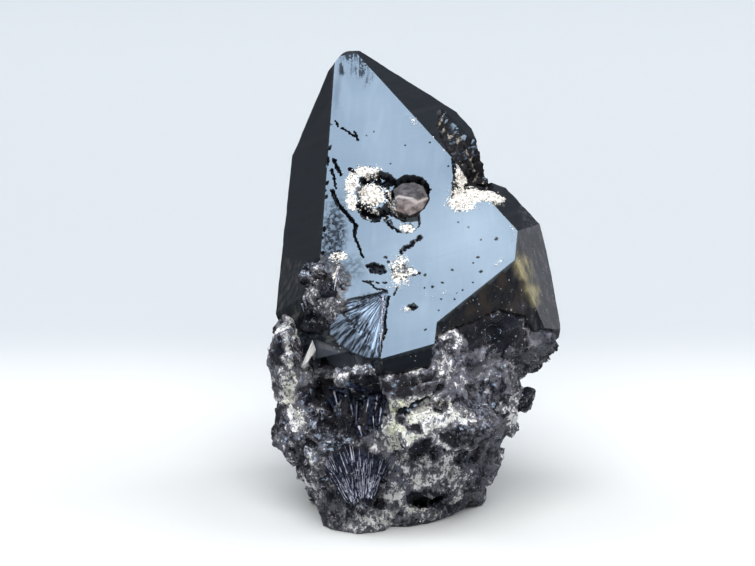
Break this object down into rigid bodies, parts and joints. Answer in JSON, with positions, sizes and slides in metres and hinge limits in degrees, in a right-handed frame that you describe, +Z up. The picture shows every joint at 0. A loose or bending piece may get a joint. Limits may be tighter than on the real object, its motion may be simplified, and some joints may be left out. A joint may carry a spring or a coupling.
{
  "type": "morion quartz specimen",
  "caption": "Black smoky quartz (morion): a pointed crystal with a smaller one along its flank, on a rough root broken flat underneath so that it stands.",
  "frame": {"origin": "centre of the underside of the bounding box, on the surface it stands on", "axes": "+Z up as it rests, -Y towards the viewer who faces the large bright face, +X to that viewer's right"},
  "size_m": [0.0396, 0.0492, 0.0569],
  "materials": {
    "smoky_quartz": "glassy crystal faces, black in the mass, brown where it is thin",
    "pale_crust": "dull, granular, white to greenish cream"
  },
  "bodies": {
    "root": {"morion_quartz": "smoky_quartz"}
  },
  "joints": []
}
